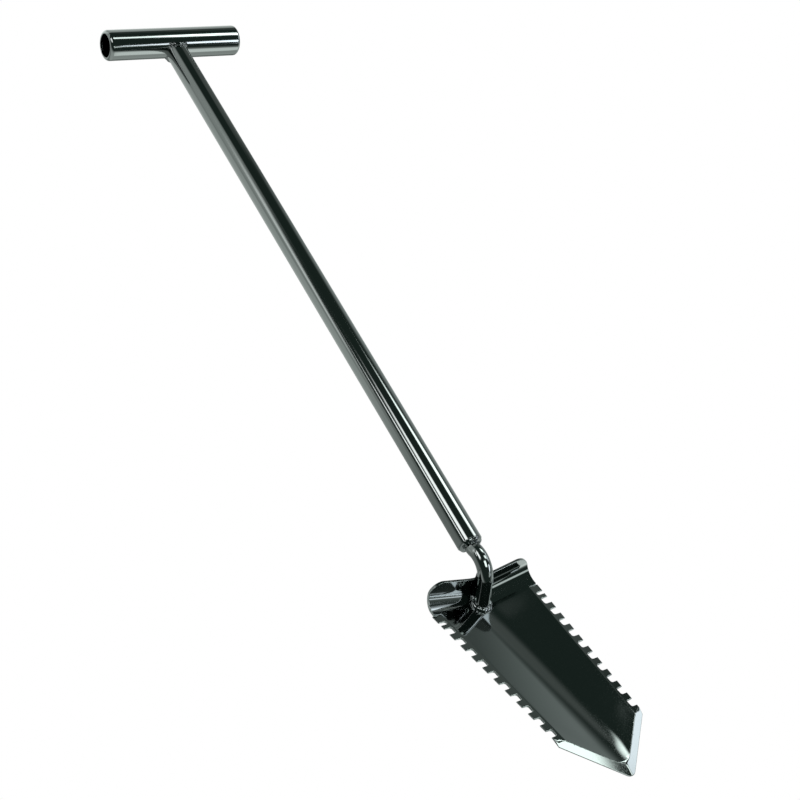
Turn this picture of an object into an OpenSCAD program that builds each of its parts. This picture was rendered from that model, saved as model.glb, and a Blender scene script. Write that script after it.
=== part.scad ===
// Long T-handled detecting shovel: a welded assembly of tube, round bar and bent plate.
// Frame: +Z runs up the shaft, +X along the grip, -Y is the working face of the blade.
// The origin is where the shaft's axis crosses the grip's axis. Millimetres.

/* [Grip] */
// Outer diameter of the cross grip tube
grip_od = 30; // [26:0.5:36]
// Wall of the grip tube
grip_wall = 2; // [1.5:0.5:2.5]
// Overall length of the grip
grip_len = 144; // [110:1:180]
// Radius to which each end of the grip is rolled in
grip_roll = 3.4; // [3:0.1:5]

/* [Shaft] */
// Outer diameter of the shaft tube
shaft_od = 22; // [20:0.5:26]
// Wall of the shaft tube
shaft_wall = 1.5; // [1.2:0.1:2.5]
// Distance from the grip's axis to the shaft's lower end
shaft_drop = 622.8; // [400:0.1:800]

/* [Neck] */
// Diameter of the solid neck bar
neck_d = 13; // [11:0.5:15]
// Straight length of bar below the shaft, before the elbow
neck_straight = 22; // [16:1:26]
// Centreline radius of the elbow
neck_bend_r = 10.5; // [9:0.5:14]
// Angle through which the elbow turns towards the blade
neck_bend = 64; // [58:1:70]
// Length of bar and bush held inside the shaft
neck_insert = 30; // [20:1:60]

/* [Blade] */
// Thickness of the blade plate
plate_t = 2.5; // [2:0.1:3]
// Thickness left at the ground edges
edge_t = 0.9; // [0.6:0.1:1.4]
// Forward lift of the blade from the line of the shaft
lift = 16.9; // [12:0.1:22]
// Height of the top bend's start below the grip's axis
bend_drop = 665.6; // [660:0.1:672]
// Setback of the blade's edges behind the shaft's axis at the top bend
bend_setback = 20.6; // [18:0.1:23]
// Rise of each wing across the blade, per millimetre
wing_slope = 0.225; // [0.15:0.005:0.26]
// Half width of the blade over the tooth tips, at the top bend
edge_half = 54.6; // [50:0.1:60]
// Half width to the crease inside the ground strip, at the top bend
crease_half = 45.5; // [42:0.1:48]
// Distance from the top bend to the point of the blade, before it is rounded
point_u = 194.2; // [185:0.1:215]
// Radius of the rounded point
point_r = 6; // [3:0.5:9]
// Length of the ground tip bevel, along the blade
tip_bevel = 8.7; // [6:0.1:11]

/* [Teeth] */
// Distance from one tooth to the next
pitch = 13.38; // [12:0.01:14]
// Number of full slots on each side
slots = 10; // [6:1:10]
// Distance from the top bend to the lower edge of the first full slot
first_slot = 22.9; // [20:0.1:24]
// Width of a full slot
slot_w = 6.7; // [5:0.1:7.5]
// Width of the narrow slot at the top
top_slot_w = 3.3; // [2.5:0.1:4]
// Width of the narrow tooth below the top slot
top_tooth_w = 4.1; // [3:0.1:5]
// Distance from the crease line to the floor of a slot
slot_floor = 1.9; // [1.4:0.1:3]
// Radius of the slots' inner corners
slot_r = 1.5; // [0.8:0.1:1.6]

/* [Foot rest] */
// Inside radius of the top bend
rest_r = 12.6; // [9:0.1:15]
// Angle of the top bend
rest_angle = 92; // [75:1:95]
// Straight length of the foot rest past its bend
rest_len = 7.9; // [5:0.1:14]
// Half width of the foot rest
rest_half = 53.2; // [48:0.1:54]
// Corner radius of the foot rest
rest_corner = 11.5; // [6:0.5:14]

/* [Welds] */
// Leg of the weld between grip and shaft
grip_weld_leg = 3.2; // [2:0.1:4]
// Height of the weld where the bar leaves the shaft
shaft_weld_h = 4.2; // [2:0.1:6]
// Outer radius of the weld round the bar on the blade
blade_weld_r = 9.6; // [8.5:0.1:11]
// Height of the weld round the bar on the blade
blade_weld_h = 5; // [3:0.1:7]

/* [Hidden] */
$fn = 96;

grip_r = grip_od / 2;
shaft_r = shaft_od / 2;
shaft_bore = shaft_r - shaft_wall;
neck_r = neck_d / 2;
mouth_r = grip_r - grip_roll;
elbow_z = -shaft_drop - neck_straight;
// Lengths of the cutters and bars that run on through the blade
neck_reach = 40;
slot_reach = 40;
// The end of the elbow in the blade's frame, and the bar's straight run from there to the blade
elbow_y = neck_bend_r * (1 - cos(neck_bend)) - bend_setback;
elbow_end_z = elbow_z - neck_bend_r * sin(neck_bend) + bend_drop;
elbow_depth = elbow_y * cos(lift) - elbow_end_z * sin(lift);
elbow_u = -elbow_y * sin(lift) - elbow_end_z * cos(lift);

// Narrowing of the tooth tips and of the crease line, per millimetre down the blade
edge_taper = 0.0802;
crease_taper = 0.0682;
// The crease of the tip bevel lies this far up the blade from its edge
tip_crease_u = point_u - tip_bevel;
// Fall of the tip bevel along the blade and across it, per millimetre
tip_fall = 0.42;
tip_fall_x = tip_fall - wing_slope * (1 - crease_taper);
// Depth of the wings' front faces at the blade's middle, where the tip bevel starts
tip_depth = wing_slope * (crease_half - crease_taper * tip_crease_u);
// Thinning of the tip bevel and of the side strips, per millimetre
tip_thin = (plate_t - edge_t) / tip_bevel;
side_thin = (plate_t - edge_t) / (edge_half - crease_half);
// Where the tip's edge meets the blade's side
shoulder_u = (point_u - edge_half) / (1 - edge_taper);
// The foot rest's ends across the wing, measured from the crease line
rest_outer = rest_half - crease_half;
rest_inner = -crease_half - plate_t;
bar_to_blade = (wing_slope * (crease_half - crease_taper * elbow_u) - elbow_depth)
    / (sin(neck_bend + lift) + wing_slope * crease_taper * cos(neck_bend + lift));
reach = 400;
gap = 0.01;
// The weld at the shaft's end stops this far inside the shaft's outer face
weld_inset = 0.5;
// A round cutter is larger by this much, so that it crosses the faces it would only touch
crossing = 0.1;

finish = [0.10, 0.12, 0.12];
plated_weld = [0.20, 0.22, 0.22];

function edge_w(u) = edge_half - edge_taper * u;
function crease_w(u) = crease_half - crease_taper * u;

// The blade's own frame: X across, Y down the blade, Z depth behind the plane of its edges.
module in_blade_frame() {
    translate([0, bend_setback, -bend_drop]) rotate([-90 - lift, 0, 0]) children();
}

// A half space: everything on the +Z side of the XY plane, as far as this part reaches.
module big_block() {
    translate([-reach, -reach, 0]) cube([2 * reach, 2 * reach, reach]);
}

// Everything deeper than the plane through a point that falls by sx across and su down the blade.
module deeper(point, sx, su) {
    translate(point) rotate([atan(su * cos(atan(sx))), -atan(sx), 0]) big_block();
}

// The frame of the right wing: X across the wing, Y down it, Z into the plate from its front face.
module in_wing_frame() {
    tilt = -atan(wing_slope * crease_taper * cos(atan(wing_slope)));
    translate([crease_half, 0, 0]) rotate([tilt, atan(wing_slope), 0]) children();
}

module wing_front() {
    in_wing_frame() big_block();
}

// One slot, opening outwards, with round inner corners.
module slot(low_u, width) {
    floor_x = crease_w(low_u - width / 2) + slot_floor;
    turn = min(slot_r, width / 2 - gap);
    translate([floor_x, low_u - width]) {
        translate([turn, 0]) square([slot_reach, width]);
        translate([0, turn]) square([slot_reach, width - 2 * turn]);
        for (y = [turn, width - turn]) translate([turn, y]) circle(turn, $fn = 32);
    }
}

module slots_2d() {
    slot(first_slot - slot_w - top_tooth_w, top_slot_w);
    for (i = [0 : slots - 1]) slot(first_slot + i * pitch, slot_w);
}

module side_profile() {
    above = 5;
    polygon([[0, -above], [edge_half, -above], [edge_half, 0],
             [edge_w(shoulder_u), shoulder_u], [0, point_u]]);
}

// The blade's outline on the right of its middle, with the point rounded.
module outline() {
    point_mid = point_u - point_r * sqrt(2);
    difference() {
        side_profile();
        slots_2d();
        difference() {
            translate([-1, point_mid + point_r / sqrt(2)]) square([point_r, point_r]);
            translate([0, point_mid]) circle(point_r);
        }
    }
}

module upright(depth = 30) {
    translate([0, 0, -depth]) linear_extrude(2 * depth) children();
}

// Everything behind the plate's front, which is the deepest of three planes at each point.
module behind_front() {
    intersection() {
        wing_front();
        deeper([0, 0, 0], 0, 0);
        deeper([0, tip_crease_u, tip_depth], tip_fall_x, tip_fall);
    }
}

// Everything behind the plate's back, which is ground thinner towards the sides and the tip.
module behind_back() {
    intersection() {
        in_wing_frame() translate([0, 0, plate_t]) big_block();
        deeper([crease_half, 0, plate_t], -side_thin, -side_thin * crease_taper);
        deeper([0, tip_crease_u, tip_depth + plate_t], tip_fall_x - tip_thin, tip_fall - tip_thin);
    }
}

module half_plate() {
    difference() {
        intersection() {
            upright() outline();
            behind_front();
            in_wing_frame() rotate([-90, 0, 0]) big_block();
        }
        behind_back();
    }
}

// Removes the foot rest's outer corner, in the wing's frame.
module rest_corner_cut() {
    spare = 5;
    rotate([90, 0, 0]) translate([rest_outer - rest_corner, -rest_r - rest_len, -1])
        linear_extrude(2 * (rest_r + rest_len)) difference() {
            translate([0, -spare]) square([rest_corner + spare, rest_corner + spare]);
            translate([0, rest_corner]) circle(rest_corner + crossing);
        }
}

// The foot rest's bend and then its flat, in the wing's frame.
module rest_bend(thickness = plate_t) {
    translate([0, 0, -rest_r]) rotate([180, -90, 0]) rotate_extrude(angle = rest_angle)
        translate([rest_r, rest_inner]) square([thickness, rest_outer - rest_inner]);
}

module rest_flat() {
    translate([0, 0, -rest_r]) rotate([rest_angle, 0, 0])
        translate([rest_inner, -rest_len, rest_r])
        cube([rest_outer - rest_inner, rest_len, plate_t]);
}

module right_side() {
    rotate([0, 90, 0]) big_block();
}

module half_rest() {
    intersection() {
        right_side();
        in_wing_frame() difference() {
            rest_bend();
            rest_corner_cut();
        }
    }
    intersection() {
        right_side();
        in_wing_frame() difference() {
            rest_flat();
            rest_corner_cut();
        }
    }
}

module half_blade() {
    half_plate();
    half_rest();
}

module blade() {
    color(finish) in_blade_frame() {
        half_blade();
        mirror([1, 0, 0]) half_blade();
    }
}

// Wall of the grip tube from its middle to one end: a straight wall, then a rolled lip.
module grip_half_profile() {
    straight = grip_len / 2 - grip_roll;
    translate([grip_r - grip_wall, 0]) square([grip_wall, straight + gap]);
    translate([mouth_r, straight]) intersection() {
        difference() {
            circle(grip_roll);
            circle(grip_roll - grip_wall);
        }
        square(grip_roll);
    }
}

module grip_tube() {
    color(finish) rotate([0, 90, 0]) rotate_extrude() {
        grip_half_profile();
        mirror([0, 1]) grip_half_profile();
    }
}

// A rod along the grip, long enough to cut the shaft and its weld.
module grip_rod(r, length) {
    rotate([0, 90, 0]) cylinder(r = r, h = length, center = true);
}

module shaft_tube() {
    color(finish) difference() {
        translate([0, 0, -shaft_drop]) cylinder(r = shaft_r, h = shaft_drop);
        translate([0, 0, -shaft_drop - 1]) cylinder(r = shaft_bore, h = shaft_drop + 2);
        grip_rod(grip_r, 3 * shaft_od);
    }
}

// Sleeve that fills the space between the bar and the shaft's bore.
module neck_bush() {
    color(finish) translate([0, 0, -shaft_drop]) difference() {
        cylinder(r = shaft_bore, h = neck_insert);
        translate([0, 0, -1]) cylinder(r = neck_r, h = neck_insert + 2);
    }
}

// The lower straight of the bar, in its own frame: +Z runs back along the bar to the elbow.
module in_bar_end_frame() {
    translate([0, neck_bend_r, elbow_z]) rotate([neck_bend, 0, 0])
        translate([0, -neck_bend_r, 0]) children();
}

// Everything behind the front of the right wing and outside the inner face of its bend.
module half_front() {
    wing_front();
    intersection() {
        right_side();
        in_wing_frame() rest_bend(neck_reach);
    }
}

module blade_front() {
    in_blade_frame() {
        half_front();
        mirror([1, 0, 0]) half_front();
    }
}

module neck_bar() {
    color(finish) {
        translate([0, 0, elbow_z]) cylinder(r = neck_r, h = neck_straight + neck_insert);
        translate([0, neck_bend_r, elbow_z]) rotate([0, 90, 0]) rotate([0, 0, -90])
            rotate_extrude(angle = neck_bend) translate([neck_bend_r, 0]) circle(neck_r);
        difference() {
            in_bar_end_frame() translate([0, 0, -neck_reach]) cylinder(r = neck_r, h = neck_reach + gap);
            blade_front();
        }
    }
}

// A saddle ring outside both tubes, where they meet.
module grip_weld() {
    color(plated_weld) intersection() {
        difference() {
            translate([0, 0, -grip_od]) cylinder(r = shaft_r + grip_weld_leg, h = grip_od);
            translate([0, 0, -grip_od - 1]) cylinder(r = shaft_r, h = grip_od + 2);
        }
        difference() {
            grip_rod(grip_r + grip_weld_leg, 3 * shaft_od);
            grip_rod(grip_r, 4 * shaft_od);
        }
    }
}

module shaft_weld() {
    width = shaft_r - weld_inset - neck_r;
    color(plated_weld) translate([0, 0, -shaft_drop]) rotate_extrude()
        intersection() {
            translate([neck_r, -shaft_weld_h]) square([width, shaft_weld_h]);
            translate([neck_r, 0]) circle(shaft_weld_h);
        }
}

module blade_weld() {
    toe = blade_weld_h;
    height = blade_weld_h + toe;
    spread = (blade_weld_r - neck_r) * height / blade_weld_h;
    color(plated_weld) difference() {
        in_bar_end_frame() translate([0, 0, -bar_to_blade - toe]) difference() {
            cylinder(r1 = neck_r + spread, r2 = neck_r, h = height);
            translate([0, 0, -1]) cylinder(r = neck_r, h = height + 2);
        }
        blade_front();
    }
}

grip_tube();
shaft_tube();
neck_bush();
neck_bar();
blade();
grip_weld();
shaft_weld();
blade_weld();
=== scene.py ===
import math

import bpy
import numpy as np
from mathutils import Matrix, Vector
from mathutils.geometry import delaunay_2d_cdt


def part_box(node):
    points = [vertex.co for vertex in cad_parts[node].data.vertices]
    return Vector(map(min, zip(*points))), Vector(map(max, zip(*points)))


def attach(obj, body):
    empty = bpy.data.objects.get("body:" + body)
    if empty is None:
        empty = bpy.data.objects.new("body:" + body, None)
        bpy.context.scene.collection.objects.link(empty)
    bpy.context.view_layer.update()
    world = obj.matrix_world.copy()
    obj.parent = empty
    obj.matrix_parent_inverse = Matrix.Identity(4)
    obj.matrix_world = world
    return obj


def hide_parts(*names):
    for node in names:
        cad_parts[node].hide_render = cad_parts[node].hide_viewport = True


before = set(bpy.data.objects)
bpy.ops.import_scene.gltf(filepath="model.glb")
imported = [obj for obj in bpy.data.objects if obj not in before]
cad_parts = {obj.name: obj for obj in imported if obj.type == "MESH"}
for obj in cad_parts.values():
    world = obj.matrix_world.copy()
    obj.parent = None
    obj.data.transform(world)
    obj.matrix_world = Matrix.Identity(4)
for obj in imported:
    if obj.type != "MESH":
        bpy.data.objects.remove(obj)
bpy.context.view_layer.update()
MM = 0.001

# The part's own dimensions, in millimetres.
GRIP_HIGH = np.array(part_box("grip_tube")[1]) / MM
SHAFT_LOW, SHAFT_HIGH = [np.array(v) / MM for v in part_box("shaft_tube")]
GRIP_HALF = GRIP_HIGH[0]
GRIP_R = GRIP_HIGH[2]
GRIP_WALL = 2.0
GRIP_ROLL = 3.4
SHAFT_R = SHAFT_HIGH[0]
SHAFT_WALL = 1.5
SHAFT_BORE = SHAFT_R - SHAFT_WALL
SHAFT_END = SHAFT_LOW[2]

# The neck bar: it leans back under the shaft and then turns to the blade, rounder than the CAD's one elbow.
NECK_R = 6.5
NECK_STRAIGHT = 1.25
NECK_TURN_R = 20.0
NECK_LEAN = math.radians(20)
NECK_TURN = math.radians(64)

# The blade's plate and its place: thickness, lift from the shaft's line, and rise of each wing.
PLATE = 2.5
EDGE = 0.9
LIFT = math.radians(16.9)
DROP = 665.6
SETBACK = 20.6
SLOPE = 0.225

# Half widths over the tooth tips and at the creases, and how much they narrow per millimetre down.
EDGE_HALF = 54.6
EDGE_TAPER = 0.0802
CREASE_HALF = 45.5
CREASE_TAPER = 0.0682

# The point, and the bevel ground along it.
POINT_U = 194.2
POINT_R = 6.0
BEVEL = 8.7
TIP_FALL = 0.42
TIP_CREASE_U = POINT_U - BEVEL

# The teeth: full slots at a regular pitch, and one narrow slot above them.
PITCH = 13.38
SLOTS = 10
FIRST_SLOT = 22.9
SLOT_W = 6.7
TOP_SLOT_W = 3.3
TOP_TOOTH_W = 4.1
SLOT_FLOOR = 1.9
SLOT_R = 1.5

# The foot rest.
REST_R = 12.6
REST_ANGLE = math.radians(92)
REST_LEN = 7.9
REST_CORNER = 11.5
REST_OUTER = 53.2 - CREASE_HALF

# Where the ground side strips start, down from the foot rest's bend.
STRIP_START = 0.8

# Softening that only this model has: the keel's half width and how much narrower it gets near the tip,
# the wings' dish, the length over which either comes or goes, the creases' half width and the plate's
# edge radius.
KEEL_W = 12.0
KEEL_NARROWING = 3.0
KEEL_NARROW_AT = 160.0
DISH = 0.02
FADE_LEN = 25.0
SOFT = 0.12
ROUND = 0.3

# The right wing's own frame in the blade's: wing X across, Y down, Z into the plate.
WING_TURN = math.atan(SLOPE)
WING_TILT = -math.atan(SLOPE * CREASE_TAPER * math.cos(WING_TURN))
CB, SB = math.cos(WING_TURN), math.sin(WING_TURN)
CT, ST = math.cos(WING_TILT), math.sin(WING_TILT)


def ease(v):
    """A smooth step from 0 to 1."""
    v = np.clip(v, 0, 1)
    return v * v * (3 - 2 * v)


def smooth_abs(x, w):
    """The size of x, rounded off where it is under w."""
    a = np.abs(x)
    return np.where(a < w, x * x / (2 * w) + w / 2, a)


def smooth_max(a, b, w):
    """The larger of a and b, blended where they differ by less than w."""
    return (a + b + smooth_abs(a - b, w)) / 2


def keel_width(s):
    """Half width of the rounded keel, which narrows towards the tip."""
    return KEEL_W - KEEL_NARROWING * ease((s - KEEL_NARROW_AT) / FADE_LEN)


def rolled(s):
    """Wing Y and Z of the front at distance s down the sheet; s < 0 is the bend and the foot rest."""
    turn_len = REST_R * REST_ANGLE
    turn = np.clip(-s, 0, turn_len) / REST_R
    past = np.maximum(-s - turn_len, 0)
    y = np.where(s > 0, s, -REST_R * np.sin(turn) - past * math.cos(REST_ANGLE))
    z = np.where(s > 0, 0, -REST_R * (1 - np.cos(turn)) - past * math.sin(REST_ANGLE))
    return y, z


def wing_point(x, s):
    """Blade-frame point (across, down, depth) of the dished wings' front face, with the keel rounded."""
    y, z = rolled(s)
    h = smooth_abs(x, keel_width(s))
    q = y * ST + z * CT
    across = (h - CREASE_HALF - q * SB) / CB
    wide = crease_w(s)
    fade = ease(s / FADE_LEN) * ease((TIP_CREASE_U - h - s) / FADE_LEN)
    dish = DISH * h * np.clip(1 - h / wide, 0, 1) * fade
    return np.stack([x + 0 * s, y * CT - z * ST, -across * SB + q * CB - dish], -1)


def normals_of(surface, x, s, step=0.04):
    """Unit normals of a surface of x and s, by small steps either way."""
    dx = surface(x + step, s) - surface(x - step, s)
    ds = surface(x, s + step) - surface(x, s - step)
    n = np.cross(dx, ds)
    return n / np.linalg.norm(n, axis=-1, keepdims=True)


def tip_plane(across, u, thin, offset):
    """Depth of the tip bevel, offset into the plate and thinned by thin per millimetre."""
    fall_x = TIP_FALL - SLOPE * (1 - CREASE_TAPER) - thin
    start = SLOPE * (CREASE_HALF - CREASE_TAPER * TIP_CREASE_U) + offset
    return start + fall_x * across + (TIP_FALL - thin) * (u - TIP_CREASE_U)


def with_tip(depth, tip, s):
    """The deeper of the wing and the tip bevel, on the lower half of the blade."""
    return np.where(s > 100, smooth_max(depth, tip, SOFT), depth)


def front(x, s):
    """The front face, with the ground side strips and the tip bevel."""
    p = wing_point(x, s)
    depth = p[..., 2]
    strip = smooth_max(depth, 0 * depth, SOFT)
    depth = depth + (strip - depth) * ease((s - STRIP_START + SOFT) / (2 * SOFT))
    tip = tip_plane(smooth_abs(x, 0.5), p[..., 1], 0, 0)
    p[..., 2] = with_tip(depth, tip, s)
    return p


def back(x, s):
    """The back face, thinner towards the ground edges."""
    p = wing_point(x, s)
    n = normals_of(wing_point, x, s)
    down = np.array([0.0, 0.0, 1.0])
    way = down + (n - down) * ease(-s / 6)[..., None]
    way = way / np.linalg.norm(way, axis=-1, keepdims=True)
    p = p + way * (PLATE / np.sum(way * n, -1))[..., None]
    side_thin = (PLATE - EDGE) / (EDGE_HALF - CREASE_HALF)
    side = PLATE - side_thin * (np.abs(x) - CREASE_HALF + CREASE_TAPER * p[..., 1])
    near_side = (s > 0) & (np.abs(x) > 30)
    depth = np.where(near_side, smooth_max(p[..., 2], side, SOFT), p[..., 2])
    tip = tip_plane(np.abs(x), p[..., 1], (PLATE - EDGE) / BEVEL, PLATE)
    p[..., 2] = with_tip(depth, tip, s)
    return p


def edge_w(u):
    """Half width over the tooth tips."""
    return EDGE_HALF - EDGE_TAPER * u


def crease_w(u):
    """Half width at the creases."""
    return CREASE_HALF - CREASE_TAPER * u


def arc(cx, cy, r, start, end, n):
    """Points of an arc, its angles in degrees."""
    return [(cx + r * math.cos(math.radians(start + (end - start) * i / n)),
             cy + r * math.sin(math.radians(start + (end - start) * i / n))) for i in range(n + 1)]


def slot_outline(low_u, width):
    """Points of one slot on the right side, from its lower edge to its upper one."""
    floor_x = crease_w(low_u - width / 2) + SLOT_FLOOR
    turn = min(SLOT_R, width / 2 - 0.02)
    pts = [(edge_w(low_u), low_u)]
    pts += arc(floor_x + turn, low_u - turn, turn, 90, 180, 6)
    pts += arc(floor_x + turn, low_u - width + turn, turn, 180, 270, 6)
    pts += [(edge_w(low_u - width), low_u - width)]
    return pts


def rest_side():
    """The foot rest's right end, from the plate's top up round its corner."""
    top_z = REST_R * (1 - math.cos(REST_ANGLE)) + REST_LEN * math.sin(REST_ANGLE)
    mid_z = top_z - REST_CORNER
    steps = [(REST_OUTER, mid_z * k / 8) for k in range(8)]
    steps += [(REST_OUTER - REST_CORNER + REST_CORNER * math.cos(math.radians(a)),
               mid_z + REST_CORNER * math.sin(math.radians(a))) for a in range(0, 91, 6)]
    pts = []
    for across, z in steps:
        turned = REST_R * (1 - math.cos(REST_ANGLE))
        if z < turned:
            s = -REST_R * math.acos(1 - z / REST_R)
        else:
            s = -REST_R * REST_ANGLE - (z - turned) / math.sin(REST_ANGLE)
        y, zz = rolled(np.array(s))
        pts.append((CREASE_HALF + across * CB + float(y * ST + zz * CT) * SB, s))
    return pts


def blade_outline():
    """The sheet's outline, as (across, down the sheet), anticlockwise seen from the back."""
    shoulder = (POINT_U - EDGE_HALF) / (1 - EDGE_TAPER)
    mid = POINT_U - POINT_R * math.sqrt(2)
    right = arc(0, mid, POINT_R, 90, 45, 6)[1:]
    right.append((edge_w(shoulder), shoulder))
    for i in reversed(range(SLOTS)):
        right += slot_outline(FIRST_SLOT + i * PITCH, SLOT_W)
    right += slot_outline(FIRST_SLOT - SLOT_W - TOP_TOOTH_W, TOP_SLOT_W)
    right.append((edge_w(STRIP_START), STRIP_START))
    side = rest_side()
    right.append((side[0][0], STRIP_START))
    right += side
    left = [(-x, s) for x, s in reversed(right)]
    return [(0.0, POINT_U - POINT_R * (math.sqrt(2) - 1))] + right + left


def refine(pts, longest):
    """A closed outline with its sides split so that none is longer than longest."""
    out = []
    for (ax, ay), (bx, by) in zip(pts, pts[1:] + pts[:1]):
        n = max(1, math.ceil(math.hypot(bx - ax, by - ay) / longest))
        out += [(ax + (bx - ax) * i / n, ay + (by - ay) * i / n) for i in range(n)]
    return np.array(out)


def turned_area(pts):
    """Twice the area of a closed outline, positive if it runs anticlockwise."""
    return np.sum(pts[:, 0] * np.roll(pts[:, 1], -1) - np.roll(pts[:, 0], -1) * pts[:, 1])


def outward(pts):
    """Outward mitre vectors of a closed outline that runs either way."""
    e = np.roll(pts, -1, 0) - pts
    e /= np.linalg.norm(e, axis=1, keepdims=True)
    n = np.stack([e[:, 1], -e[:, 0]], 1) * np.sign(turned_area(pts))
    m = n + np.roll(n, 1, 0)
    unit = m / np.linalg.norm(m, axis=1, keepdims=True)
    return unit / np.maximum(np.sum(unit * n, 1, keepdims=True), 0.5)


def inside(points, loop, margin):
    """Which points lie inside the loop and more than margin from it."""
    a, b = loop, np.roll(loop, -1, 0)
    keep = np.zeros(len(points), bool)
    for i in range(0, len(points), 500):
        p = points[i:i + 500, None, :]
        crosses = (a[:, 1] > p[..., 1]) != (b[:, 1] > p[..., 1])
        dy = np.where(b[:, 1] == a[:, 1], 1e-9, b[:, 1] - a[:, 1])
        at = a[:, 0] + (p[..., 1] - a[:, 1]) * (b[:, 0] - a[:, 0]) / dy
        odd = np.sum(crosses & (p[..., 0] < at), 1) % 2 == 1
        ab = b - a
        t = np.clip(np.sum((p - a) * ab, 2) / np.sum(ab * ab, 1), 0, 1)
        gap = np.min(np.linalg.norm(a + t[..., None] * ab - p, axis=2), 1)
        keep[i:i + 500] = odd & (gap > margin)
    return keep


def blade_points(loop):
    """Points inside the outline: a grid, closer over the bend, the keel and the creases."""
    xs = sorted(set([i * 0.9 for i in range(-11, 12)] + [i * 3.3 for i in range(-16, 17)]))
    rows = ([-28.2 + i * 1.5 for i in range(5)] + [-20.6 + i * 0.8 for i in range(26)]
            + [i * 3.0 for i in range(1, 65)])
    lean = 0.013
    pts = [(x + lean * s, s) for s in rows for x in xs]
    for off in (-0.5, -0.22, 0, 0.22, 0.5):
        for i in range(170):
            s = 1.1 + i * 0.9
            pts += [(crease_w(s) + off, s), (-crease_w(s) - off, s)]
        for i in range(45):
            x = 0.4 + i * 0.9
            pts += [(x, TIP_CREASE_U - x + off), (-x, TIP_CREASE_U - x + off)]
    for off in (-0.2, -0.1, 0, 0.1, 0.2):
        for i in range(12):
            x = crease_w(0) - 0.5 + i * 0.8
            pts += [(x, STRIP_START + off), (-x, STRIP_START + off)]
        pts += [(off * 3, s) for s in np.arange(TIP_CREASE_U + 0.8, POINT_U - 3.5, 0.8)]
    pts = np.array(pts)
    return pts[inside(pts, loop, 0.34)]


BLADE_TO_ROW = np.array([
    [1, 0, 0],
    [0, -math.sin(LIFT), math.cos(LIFT)],
    [0, -math.cos(LIFT), -math.sin(LIFT)],
])
BLADE_ORIGIN = np.array([0, SETBACK, -DROP])


def to_row(p):
    """Points of the blade's frame in the part's frame."""
    return p @ BLADE_TO_ROW.T + BLADE_ORIGIN


def new_piece(name, verts, faces, mat, normals=None, sharp=None):
    """A smooth mesh object from points in millimetres, with its own normals or sharp edges by angle."""
    mesh = bpy.data.meshes.new(name)
    mesh.from_pydata([tuple(v) for v in np.asarray(verts) * MM], [], [tuple(f) for f in faces])
    mesh.validate()
    mesh.update()
    mesh.shade_smooth()
    if normals is not None:
        mesh.normals_split_custom_set_from_vertices([tuple(n) for n in normals])
    elif sharp:
        mesh.set_sharp_from_angle(angle=math.radians(sharp))
    mesh.materials.append(mat)
    obj = bpy.data.objects.new(name, mesh)
    bpy.context.scene.collection.objects.link(obj)
    return obj


def edge_rings(inner, outer):
    """The rounded edge between the two faces: six rings of points and of normals, from front to back."""
    step = wing_point(outer[:, 0], outer[:, 1]) - wing_point(inner[:, 0], inner[:, 1])
    front_in, back_in = front(inner[:, 0], inner[:, 1]), back(inner[:, 0], inner[:, 1])
    front_out, back_out = front_in + step, back_in + step
    thick = back_out - front_out
    way = thick / np.linalg.norm(thick, axis=1, keepdims=True)
    side = front_out - front_in
    side = side / np.linalg.norm(side, axis=1, keepdims=True)
    points, normals = [], []
    front_edge = (front_in, front_out, 1, (30, 60, 90))
    back_edge = (back_in, back_out, -1, (90, 60, 30))
    for base, far, sign, angles in (front_edge, back_edge):
        for angle in angles:
            c, sn = math.cos(math.radians(angle)), math.sin(math.radians(angle))
            points.append(base + (far - base) * sn + sign * way * ROUND * (1 - c))
            normals.append(side * sn - sign * way * c)
    return points, normals


def sheet_faces(flat, tris, back_start):
    """Each triangle twice: on the front, and turned over on the back."""
    faces = []
    for t in tris:
        p = flat[t]
        turn = (p[1, 0] - p[0, 0]) * (p[2, 1] - p[0, 1]) - (p[1, 1] - p[0, 1]) * (p[2, 0] - p[0, 0])
        a, b, c = (int(i) for i in (t if turn > 0 else t[::-1]))
        faces.append((a, c, b))
        faces.append((a + back_start, b + back_start, c + back_start))
    return faces


def build_blade(mat):
    """The plate: a triangulated sheet for each face, joined round the outline by a rounded edge."""
    loop = refine(blade_outline(), 1.2)
    inner = loop - outward(loop) * ROUND
    n = len(loop)
    flat = np.concatenate([inner, blade_points(inner)])
    m = len(flat)
    edges = [(i, (i + 1) % n) for i in range(n)]
    out = delaunay_2d_cdt([Vector(p) for p in flat], edges, [], 1, 1e-6, True)
    ids = [o[0] if o else None for o in out[3]]
    tris = np.array([[ids[i] for i in f] for f in out[2]])
    tris = tris[inside(flat[tris].mean(1), inner, 0)]
    x, s = flat[:, 0], flat[:, 1]
    edge_points, edge_normals = edge_rings(inner, loop)
    verts = [front(x, s), back(x, s)] + edge_points
    normals = [-normals_of(front, x, s), normals_of(back, x, s)] + edge_normals
    faces = sheet_faces(flat, tris, m)
    starts = [0] + [2 * m + k * n for k in range(len(edge_points))] + [m]
    for low, high in zip(starts, starts[1:]):
        for i in range(n):
            j = (i + 1) % n
            quad = [low + i, low + j, high + j, high + i]
            faces.append(quad if turned_area(loop) > 0 else quad[::-1])
    verts = to_row(np.concatenate(verts))
    normals = np.concatenate(normals) @ BLADE_TO_ROW.T
    return new_piece("blade_sheet", verts, faces, mat, normals=normals)


def grid_faces(rows, cols, close_rows=False):
    """Quads between rows of points, each row a closed ring; close_rows joins the last row to the first."""
    faces = []
    for i in range(rows if close_rows else rows - 1):
        for j in range(cols):
            a, b = i * cols + j, i * cols + (j + 1) % cols
            c, d = ((i + 1) % rows) * cols + (j + 1) % cols, ((i + 1) % rows) * cols + j
            faces.append((a, b, c, d))
    return faces


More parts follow.
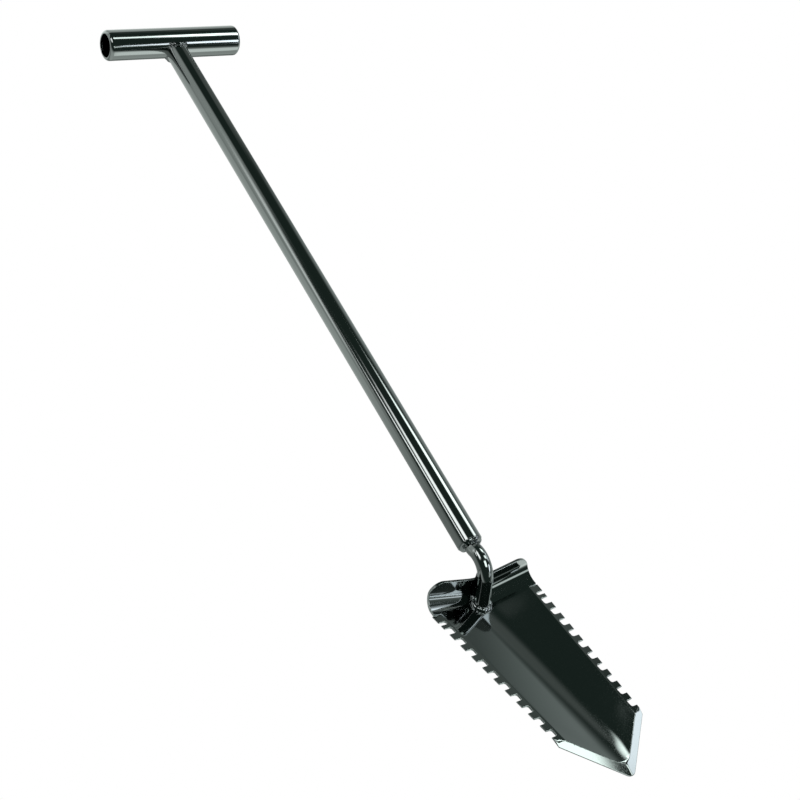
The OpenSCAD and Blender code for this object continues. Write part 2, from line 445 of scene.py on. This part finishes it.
def build_grip(mat):
    """The grip tube: one closed profile turned about X, with rolled lips."""
    half = []
    straight = GRIP_HALF - GRIP_ROLL
    for k in range(9):
        half.append((GRIP_R, straight * k / 8))
    for a in range(6, 91, 6):
        half.append((GRIP_R - GRIP_ROLL + GRIP_ROLL * math.cos(math.radians(a)),
                     straight + GRIP_ROLL * math.sin(math.radians(a))))
    mouth = GRIP_R - GRIP_ROLL
    lip = GRIP_ROLL - GRIP_WALL
    half += [
        (mouth - 0.15, GRIP_HALF - 0.12),
        (mouth - 0.22, GRIP_HALF - 0.4),
        (mouth - 0.22, straight + lip + 0.3),
    ]
    for a in range(80, -1, -10):
        half.append((mouth + lip * math.cos(math.radians(a)), straight + lip * math.sin(math.radians(a))))
    for k in range(7, -1, -1):
        half.append((GRIP_R - GRIP_WALL, straight * k / 8))
    profile = half + [(r, -x) for r, x in reversed(half[1:-1])]
    cols = 160
    verts = []
    for r, x in profile:
        for j in range(cols):
            a = 2 * math.pi * j / cols
            verts.append((x, r * math.sin(a), r * math.cos(a)))
    faces = grid_faces(len(profile), cols, close_rows=True)
    return new_piece("grip_shell", verts, faces, mat, sharp=40)


def saddle_z(r, a):
    """Height of the grip's underside at radius r and angle a round the shaft's axis."""
    return -math.sqrt(GRIP_R ** 2 - (r * math.cos(a)) ** 2)


def build_shaft(mat):
    """The shaft tube, its top cut to the round of the grip."""
    cols, rows = 160, 60
    verts = []
    for r, order in ((SHAFT_R, range(rows + 1)), (SHAFT_BORE, range(rows, -1, -1))):
        for k in order:
            for j in range(cols):
                a = 2 * math.pi * j / cols
                z0 = saddle_z(r, a)
                verts.append((r * math.cos(a), r * math.sin(a), z0 + (SHAFT_END - z0) * k / rows))
    faces = grid_faces(2 * (rows + 1), cols, close_rows=True)
    return new_piece("shaft_shell", verts, [f[::-1] for f in faces], mat, sharp=40)


# The bar's line: the lean starts at LEAN_Z and is full at LEAN_END, the bend to the blade turns about
# BEND_MID, and the last straight starts at BAR_START and runs along BAR_DIR.
LEAN_Z = SHAFT_END - NECK_STRAIGHT
LEAN_DROP = NECK_TURN_R * math.sin(NECK_LEAN)
LEAN_END = np.array([0, NECK_TURN_R * (math.cos(NECK_LEAN) - 1), LEAN_Z - LEAN_DROP])
BEND_MID = LEAN_END + NECK_TURN_R * np.array([0, math.cos(NECK_LEAN), -math.sin(NECK_LEAN)])
BAR_DIR = np.array([0, math.sin(NECK_TURN), -math.cos(NECK_TURN)])
BAR_UP = np.array([0, math.cos(NECK_TURN), math.sin(NECK_TURN)])
BAR_START = BEND_MID - NECK_TURN_R * BAR_UP
ACROSS = np.array([1.0, 0, 0])
BAR_TOP = SHAFT_END + 6


def behind(p):
    """How far a row-frame point lies behind the front of the blade, its dish left out."""
    q = (np.asarray(p) - BLADE_ORIGIN) @ BLADE_TO_ROW
    h = smooth_abs(q[..., 0], KEEL_W) - CREASE_HALF
    turned = h * SB + q[..., 2] * CB
    down = q[..., 1] * CT + turned * ST
    deep = turned * CT - q[..., 1] * ST
    bend = np.where(deep > -REST_R, np.hypot(down, deep + REST_R), -down) - REST_R
    return np.where(down > 0, deep, bend)


def around(a, up):
    """The direction at angle a round a bar, from across towards up."""
    return math.cos(a) * ACROSS + math.sin(a) * up


def bar_hit(a, r):
    """Distance along the last straight to the blade's front, at angle a and radius r."""
    t = np.linspace(0, 45, 451)
    value = behind(BAR_START + r * around(a, BAR_UP) + t[:, None] * BAR_DIR)
    first = int(np.argmax(value > 0))
    a0, a1 = t[first - 1], t[first]
    return a0 + (a1 - a0) * -value[first - 1] / (value[first] - value[first - 1])


def build_bar(mat):
    """The round bar, swept down the shaft's axis, back into the lean, round the bend and into the blade."""
    cols = 96
    heights = np.linspace(BAR_TOP, LEAN_Z, 6)[:-1]
    sections = [(np.array([0, 0, z]), np.array([0, 1.0, 0])) for z in heights]
    for a in np.linspace(0, NECK_LEAN, 11):
        up = np.array([0, math.cos(a), -math.sin(a)])
        sections.append((np.array([0, -NECK_TURN_R, LEAN_Z]) + NECK_TURN_R * up, up))
    for a in np.linspace(-NECK_LEAN, NECK_TURN, 43)[1:]:
        up = np.array([0, math.cos(a), math.sin(a)])
        sections.append((BEND_MID - NECK_TURN_R * up, up))
    verts, rows = [], 0
    for centre, up in sections:
        for j in range(cols):
            a = 2 * math.pi * j / cols
            verts.append(centre + NECK_R * around(a, up))
        rows += 1
    hits = [bar_hit(2 * math.pi * j / cols, NECK_R) + 0.8 for j in range(cols)]
    for k in range(1, 11):
        for j in range(cols):
            a = 2 * math.pi * j / cols
            verts.append(BAR_START + NECK_R * around(a, BAR_UP) + BAR_DIR * hits[j] * k / 10)
        rows += 1
    faces = [f[::-1] for f in grid_faces(rows, cols)]
    first, last = len(verts), len(verts) + 1
    verts += [np.array([0, 0, BAR_TOP]), BAR_START + BAR_DIR * (sum(hits) / cols)]
    for j in range(cols):
        k = (j + 1) % cols
        faces.append((first, j, k))
        faces.append((last, (rows - 1) * cols + k, (rows - 1) * cols + j))
    return new_piece("neck_rod", verts, faces, mat, sharp=50)


def ripple(a, count, phase, size):
    """Height of a row of overlapping weld scallops at angle a."""
    t = (a * count / (2 * math.pi) + phase + 0.2 * math.sin(3 * a + phase) + 0.13 * math.sin(5 * a)) % 1
    return size * (math.sin(math.pi * t) ** 1.4 - 0.4) + 0.35 * size * math.sin(2 * a + 5 * phase)


def build_bead(name, mat, cols, point, inner_point):
    """A closed ring: point(a, k), k from 0 to 1 over the outside, then inner_point(a) inside the metal."""
    rows = 15
    verts = []
    for i in range(rows):
        for j in range(cols):
            verts.append(point(2 * math.pi * j / cols, i / (rows - 1)))
    for j in range(cols):
        verts.append(inner_point(2 * math.pi * j / cols))
    faces = grid_faces(rows + 1, cols, close_rows=True)
    piece = new_piece(name, verts, faces, mat, sharp=60)
    piece.data.flip_normals()
    return piece


def grip_bead_point(a, k):
    """Outside of the bead between the grip and the shaft."""
    t = math.radians(-4 + 98 * k)
    leg = 2.8 + ripple(a, 22, 0.2, 0.35)
    r = SHAFT_R - 0.1 + leg * math.cos(t)
    toe = min(r, GRIP_R - 0.5)
    drop = (leg + 0.2) * max(math.sin(t), -0.1)
    return (r * math.cos(a), r * math.sin(a), saddle_z(toe, a) + 0.15 - drop)


def grip_bead_core(a):
    """Inside of the same bead, in the shaft's wall."""
    r = SHAFT_R - 0.7
    return (r * math.cos(a), r * math.sin(a), saddle_z(r, a) - 0.6)


def shaft_bead_point(a, k):
    """Outside of the bead on the shaft's end, round the bar."""
    t = math.radians(-3 + 96 * k)
    lump = 0.25 + ripple(a, 9, 0.4, 0.6)
    wide = SHAFT_R - 0.75 - NECK_R + 0.35 * lump
    r = NECK_R + wide * math.cos(t)
    drop = (3.6 + 0.9 * lump) * math.sin(t) ** 0.9 if t > 0 else -0.05
    return (r * math.cos(a), r * math.sin(a), SHAFT_END + 0.25 - drop)


def shaft_bead_core(a):
    """Inside of the same bead, in the bar."""
    r = NECK_R - 0.6
    return (r * math.cos(a), r * math.sin(a), SHAFT_END + 0.3)


def blade_bead_point(a, k):
    """Outside of the bead on the blade, round the bar."""
    t = math.radians(-6 + 100 * k)
    lump = ripple(a, 9, 0.1, 0.4)
    r = NECK_R - 0.05 + (2.75 + lump) * math.cos(t)
    high = (3.4 + lump) * math.sin(t)
    return BAR_START + r * around(a, BAR_UP) + BAR_DIR * (bar_hit(a, r) + 0.1 - high)


def blade_bead_core(a):
    """Inside of the same bead, in the bar and behind the blade's front."""
    r = NECK_R - 0.8
    return BAR_START + r * around(a, BAR_UP) + BAR_DIR * (bar_hit(a, r) + 0.6)


def nodes_of(name, roughness, color, metal=1.0):
    """A new material with its node tree and its shader."""
    mat = bpy.data.materials.new(name)
    mat.use_nodes = True
    tree = mat.node_tree
    shader = tree.nodes["Principled BSDF"]
    shader.inputs["Metallic"].default_value = metal
    shader.inputs["Roughness"].default_value = roughness
    shader.inputs["Base Color"].default_value = (*color, 1)
    return mat, tree, shader


def plated(name, color, tint, roughness, wave=0.02, wave_scale=12, grain=0.004):
    """Black plating: a dark mirror with patches of tint, slow waves, fine grain and uneven roughness."""
    mat, tree, shader = nodes_of(name, roughness, color)
    new, link = tree.nodes.new, tree.links.new
    coord = new("ShaderNodeTexCoord")

    def noise(scale, detail=2, rough=0.5):
        n = new("ShaderNodeTexNoise")
        n.inputs["Scale"].default_value = scale
        n.inputs["Detail"].default_value = detail
        n.inputs["Roughness"].default_value = rough
        link(coord.outputs["Object"], n.inputs["Vector"])
        return n

    patch = noise(9, 3, 0.55)
    mix = new("ShaderNodeMix")
    mix.data_type = "RGBA"
    mix.inputs[6].default_value = (*color, 1)
    mix.inputs[7].default_value = (*tint, 1)
    link(patch.outputs["Fac"], mix.inputs[0])
    link(mix.outputs[2], shader.inputs["Base Color"])
    specks = noise(900, 1, 0.5)
    ramp = new("ShaderNodeMapRange")
    ramp.inputs["From Min"].default_value = 0.30
    ramp.inputs["From Max"].default_value = 0.70
    ramp.inputs["To Min"].default_value = roughness
    ramp.inputs["To Max"].default_value = roughness + 0.05
    link(specks.outputs["Fac"], ramp.inputs["Value"])
    link(ramp.outputs["Result"], shader.inputs["Roughness"])
    slow = noise(wave_scale, 2, 0.4)
    bump = new("ShaderNodeBump")
    bump.inputs["Strength"].default_value = 1.0
    bump.inputs["Distance"].default_value = wave * MM
    link(slow.outputs["Fac"], bump.inputs["Height"])
    fine = noise(1500, 2, 0.6)
    bump2 = new("ShaderNodeBump")
    bump2.inputs["Strength"].default_value = 1.0
    bump2.inputs["Distance"].default_value = grain * MM
    link(fine.outputs["Fac"], bump2.inputs["Height"])
    link(bump.outputs["Normal"], bump2.inputs["Normal"])
    link(bump2.outputs["Normal"], shader.inputs["Normal"])
    return mat


PLATING, PATCHES = (0.24, 0.27, 0.26), (0.28, 0.29, 0.29)
tube_mat = plated("tube_plating", PLATING, PATCHES, 0.05)
bar_mat = plated("bar_plating", PLATING, PATCHES, 0.06)
blade_mat = plated("blade_plating", PLATING, (0.27, 0.28, 0.28), 0.04, grain=0.0015)
weld_mat = plated("weld_plating", (0.14, 0.16, 0.16), (0.20, 0.21, 0.21), 0.06, wave=0.06, wave_scale=120)

grip = build_grip(tube_mat)
shaft = build_shaft(tube_mat)
bar = build_bar(bar_mat)
blade = build_blade(blade_mat)
grip_bead = build_bead("grip_bead", weld_mat, 340, grip_bead_point, grip_bead_core)
shaft_bead = build_bead("shaft_bead", weld_mat, 225, shaft_bead_point, shaft_bead_core)
blade_bead = build_bead("blade_bead", weld_mat, 204, blade_bead_point, blade_bead_core)
pieces = [
    (grip, "grip_tube", "plated_tube"),
    (shaft, "shaft_tube", "plated_tube"),
    (bar, "neck_bar", "plated_bar"),
    (blade, "blade", "plated_blade"),
    (grip_bead, "grip_weld", "plated_weld"),
    (shaft_bead, "shaft_weld", "plated_weld"),
    (blade_bead, "blade_weld", "plated_weld"),
]
for piece, node, slot in pieces:
    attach(piece, "root")
    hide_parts(node)
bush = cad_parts["neck_bush"]
bush.data.materials.clear()
bush.data.materials.append(bar_mat)

# Camera: the photograph's viewing angle.
scene = bpy.context.scene
data = bpy.data.cameras.new("camera")
data.sensor_width = 36
data.lens = 66.72
data.clip_start = 0.01
data.clip_end = 50
camera = bpy.data.objects.new("camera", data)
scene.collection.objects.link(camera)
right = Vector((0.816678, -0.346378, -0.461583))
ahead = Vector((0.551599, 0.703635, 0.447924)).normalized()
right = (right - ahead * right.dot(ahead)).normalized()
up = right.cross(ahead)
turn = Matrix((right, up, -ahead)).transposed().to_4x4()
camera.matrix_world = Matrix.Translation((-0.6967, -0.9075, -1.0507)) @ turn
scene.camera = camera


def sheet(name, corners, mat):
    """One flat face, for the floor or a light panel round the object."""
    mesh = bpy.data.meshes.new(name)
    mesh.from_pydata(corners, [], [(0, 1, 2, 3)])
    mesh.materials.append(mat)
    obj = bpy.data.objects.new(name, mesh)
    scene.collection.objects.link(obj)
    return obj


# The pale floor, below the camera.
FLOOR_Z = -1.25
FLOOR_HALF = 30
floor_mat, _, floor_shader = nodes_of("pale_floor", 0.9, (0.85, 0.85, 0.85), metal=0.0)
floor_shader.inputs["Specular IOR Level"].default_value = 0
floor_corners = [(x * FLOOR_HALF, y * FLOOR_HALF, FLOOR_Z) for x, y in ((-1, -1), (1, -1), (1, 1), (-1, 1))]
floor = sheet("floor", floor_corners, floor_mat)
floor.visible_glossy = False


def times(tree, a, b):
    """A socket for the product of socket a and a socket or number b."""
    product = tree.nodes.new("ShaderNodeMath")
    product.operation = "MULTIPLY"
    tree.links.new(a, product.inputs[0])
    if isinstance(b, (int, float)):
        product.inputs[1].default_value = b
    else:
        tree.links.new(b, product.inputs[1])
    return product.outputs[0]


def softbox(name, x, z, color, power, soft, y=-1.13):
    """A soft panel before the object, from x[0] to x[1] and z[0] to z[1], fading at its edges over soft."""
    mat = bpy.data.materials.new(name)
    mat.use_nodes = True
    tree = mat.node_tree
    tree.nodes.clear()
    new, link = tree.nodes.new, tree.links.new
    coord = new("ShaderNodeTexCoord")
    split = new("ShaderNodeSeparateXYZ")
    link(coord.outputs["Object"], split.inputs[0])
    fades = []
    half = ((x[1] - x[0]) / 2, (z[1] - z[0]) / 2)
    for axis, h in ((0, half[0]), (2, half[1])):
        size = new("ShaderNodeMath")
        size.operation = "ABSOLUTE"
        link(split.outputs[axis], size.inputs[0])
        fade = new("ShaderNodeMapRange")
        fade.interpolation_type = "SMOOTHSTEP"
        fade.inputs["From Min"].default_value = h
        fade.inputs["From Max"].default_value = max(h - soft, 0)
        link(size.outputs[0], fade.inputs["Value"])
        fades.append(fade.outputs["Result"])
    light = new("ShaderNodeEmission")
    light.inputs["Color"].default_value = (*color, 1)
    link(times(tree, times(tree, *fades), power), light.inputs["Strength"])
    clear = new("ShaderNodeBsdfTransparent")
    both = new("ShaderNodeAddShader")
    out = new("ShaderNodeOutputMaterial")
    link(light.outputs[0], both.inputs[0])
    link(clear.outputs[0], both.inputs[1])
    link(both.outputs[0], out.inputs["Surface"])
    corners = [(i * half[0], 0, k * half[1]) for i, k in ((-1, -1), (1, -1), (1, 1), (-1, 1))]
    panel = sheet(name, corners, mat)
    panel.location = ((x[0] + x[1]) / 2, y, (z[0] + z[1]) / 2)
    panel.visible_camera = False
    panel.visible_shadow = False
    panel.visible_diffuse = False


WHITE, COOL, MINT = (1, 1, 1), (0.88, 0.93, 1.0), (0.92, 1.0, 0.97)
softbox("box_right", (0.49, 1.42), (-0.2, 0.31), MINT, 4.5, soft=0.15)
softbox("box_left", (-1.66, -0.62), (-0.6, 0.36), WHITE, 3.4, soft=0.22)
softbox("box_far_left", (-3.8, -1.85), (0.35, 1.05), WHITE, 4, soft=0.35)
softbox("box_low", (0.82, 1.6), (-2.1, -1.1), COOL, 4.5, soft=0.15)
softbox("box_side", (1.5, 2.5), (-0.95, 0.25), COOL, 3.0, soft=0.25)
softbox("box_tip", (-0.15, 0.125), (-0.95, -0.72), MINT, 4, soft=0.02, y=-0.5)
softbox("box_rest_right", (0.5, 1.3), (-3.4, -1.85), MINT, 1.6, soft=0.3)
softbox("box_rest_left", (1.85, 3.3), (-3.6, -2.5), COOL, 1.6, soft=0.3)

# The room: dark, with soft pale glows that the plating reflects.
world = bpy.data.worlds.new("studio")
scene.world = world
world.use_nodes = True
tree = world.node_tree
tree.nodes.clear()
new, link = tree.nodes.new, tree.links.new
direction = new("ShaderNodeTexCoord")


def ramp(axis, low, high):
    """0 where the direction's part along axis is below low, 1 above high; swapped if low > high."""
    dot = new("ShaderNodeVectorMath")
    dot.operation = "DOT_PRODUCT"
    dot.inputs[1].default_value = Vector(axis).normalized()
    link(direction.outputs["Generated"], dot.inputs[0])
    fade = new("ShaderNodeMapRange")
    fade.interpolation_type = "SMOOTHSTEP"
    fade.inputs["From Min"].default_value = low
    fade.inputs["From Max"].default_value = high
    link(dot.outputs["Value"], fade.inputs["Value"])
    return fade.outputs["Result"]


def glow(color, power, *ramps):
    """Light of one colour where all the ramps are open."""
    factor = ramps[0]
    for other in ramps[1:]:
        factor = times(tree, factor, other)
    light = new("ShaderNodeBackground")
    light.inputs["Color"].default_value = (*color, 1)
    link(times(tree, factor, power), light.inputs["Strength"])
    return light.outputs[0]


def sum_of(lights):
    """A socket that adds up the lights."""
    total = lights[0]
    for light in lights[1:]:
        both = new("ShaderNodeAddShader")
        link(total, both.inputs[0])
        link(light, both.inputs[1])
        total = both.outputs[0]
    return total


# Directions in the part's frame. TABLE_EDGE is square to the edge of a pale table that the plating shows.
dark = new("ShaderNodeBackground")
dark.inputs["Color"].default_value = (0.030, 0.048, 0.041, 1)
X, Y, Z = (1, 0, 0), (0, 1, 0), (0, 0, 1)
PALE = (0.95, 1.0, 0.97)
TABLE_EDGE = (0.417, 0.494, 0.763)
room = sum_of([
    dark.outputs[0],
    glow(PALE, 0.46, ramp(Y, -0.10, 0.30), ramp(Z, 0.36, 0.50), ramp(X, 0.75, -0.1)),
    glow(PALE, 0.33, ramp(Y, -0.10, 0.38), ramp(X, 0.75, -0.1)),
    glow(PALE, 1.0, ramp(Z, -0.60, -0.70), ramp(X, 0.30, 0.42), ramp(Y, 0.12, 0.28)),
    glow(PALE, 0.18, ramp(Y, 0.05, 0.45), ramp(X, -0.1, 0.75)),
    glow(PALE, 0.45, ramp(Y, -0.10, 0.30), ramp(Z, 0.1, -0.1)),
    glow(PALE, 0.75, ramp(Z, 0.74, 0.86)),
    glow((0.92, 1.0, 0.98), 0.44, ramp(Y, -0.65, -0.12), ramp(Z, 0.66, 0.50), ramp(X, 0.5, 0.8)),
    glow(PALE, 0.14, ramp(X, 0.35, 0.55), ramp(Z, 0.60, 0.64), ramp(Z, 0.74, 0.68)),
    glow(PALE, 0.60, ramp(TABLE_EDGE, -0.12, -0.02), ramp(X, -0.30, -0.50), ramp(Y, 0.20, -0.10)),
    glow(WHITE, 1.0, ramp(TABLE_EDGE, -0.12, -0.05), ramp(TABLE_EDGE, 0.05, -0.03),
         ramp(X, -0.50, -0.70), ramp(Z, 0.64, 0.58), ramp(Z, 0.46, 0.52)),
    glow(MINT, 3.6, ramp(Z, -0.06, -0.01), ramp(Z, 0.17, 0.11), ramp(X, 0.28, 0.36), ramp(Y, -0.6, -0.8)),
])

# The camera and diffuse light see plain white; reflections see the room.
white = new("ShaderNodeBackground")
white.inputs["Color"].default_value = (1, 1, 1, 1)
path = new("ShaderNodeLightPath")
seen = new("ShaderNodeMath")
seen.operation = "MAXIMUM"
link(path.outputs["Is Camera Ray"], seen.inputs[0])
link(path.outputs["Is Diffuse Ray"], seen.inputs[1])
mixer = new("ShaderNodeMixShader")
out = new("ShaderNodeOutputWorld")
link(seen.outputs[0], mixer.inputs[0])
link(room, mixer.inputs[1])
link(white.outputs[0], mixer.inputs[2])
link(mixer.outputs[0], out.inputs["Surface"])
scene.view_settings.view_transform = "Standard"
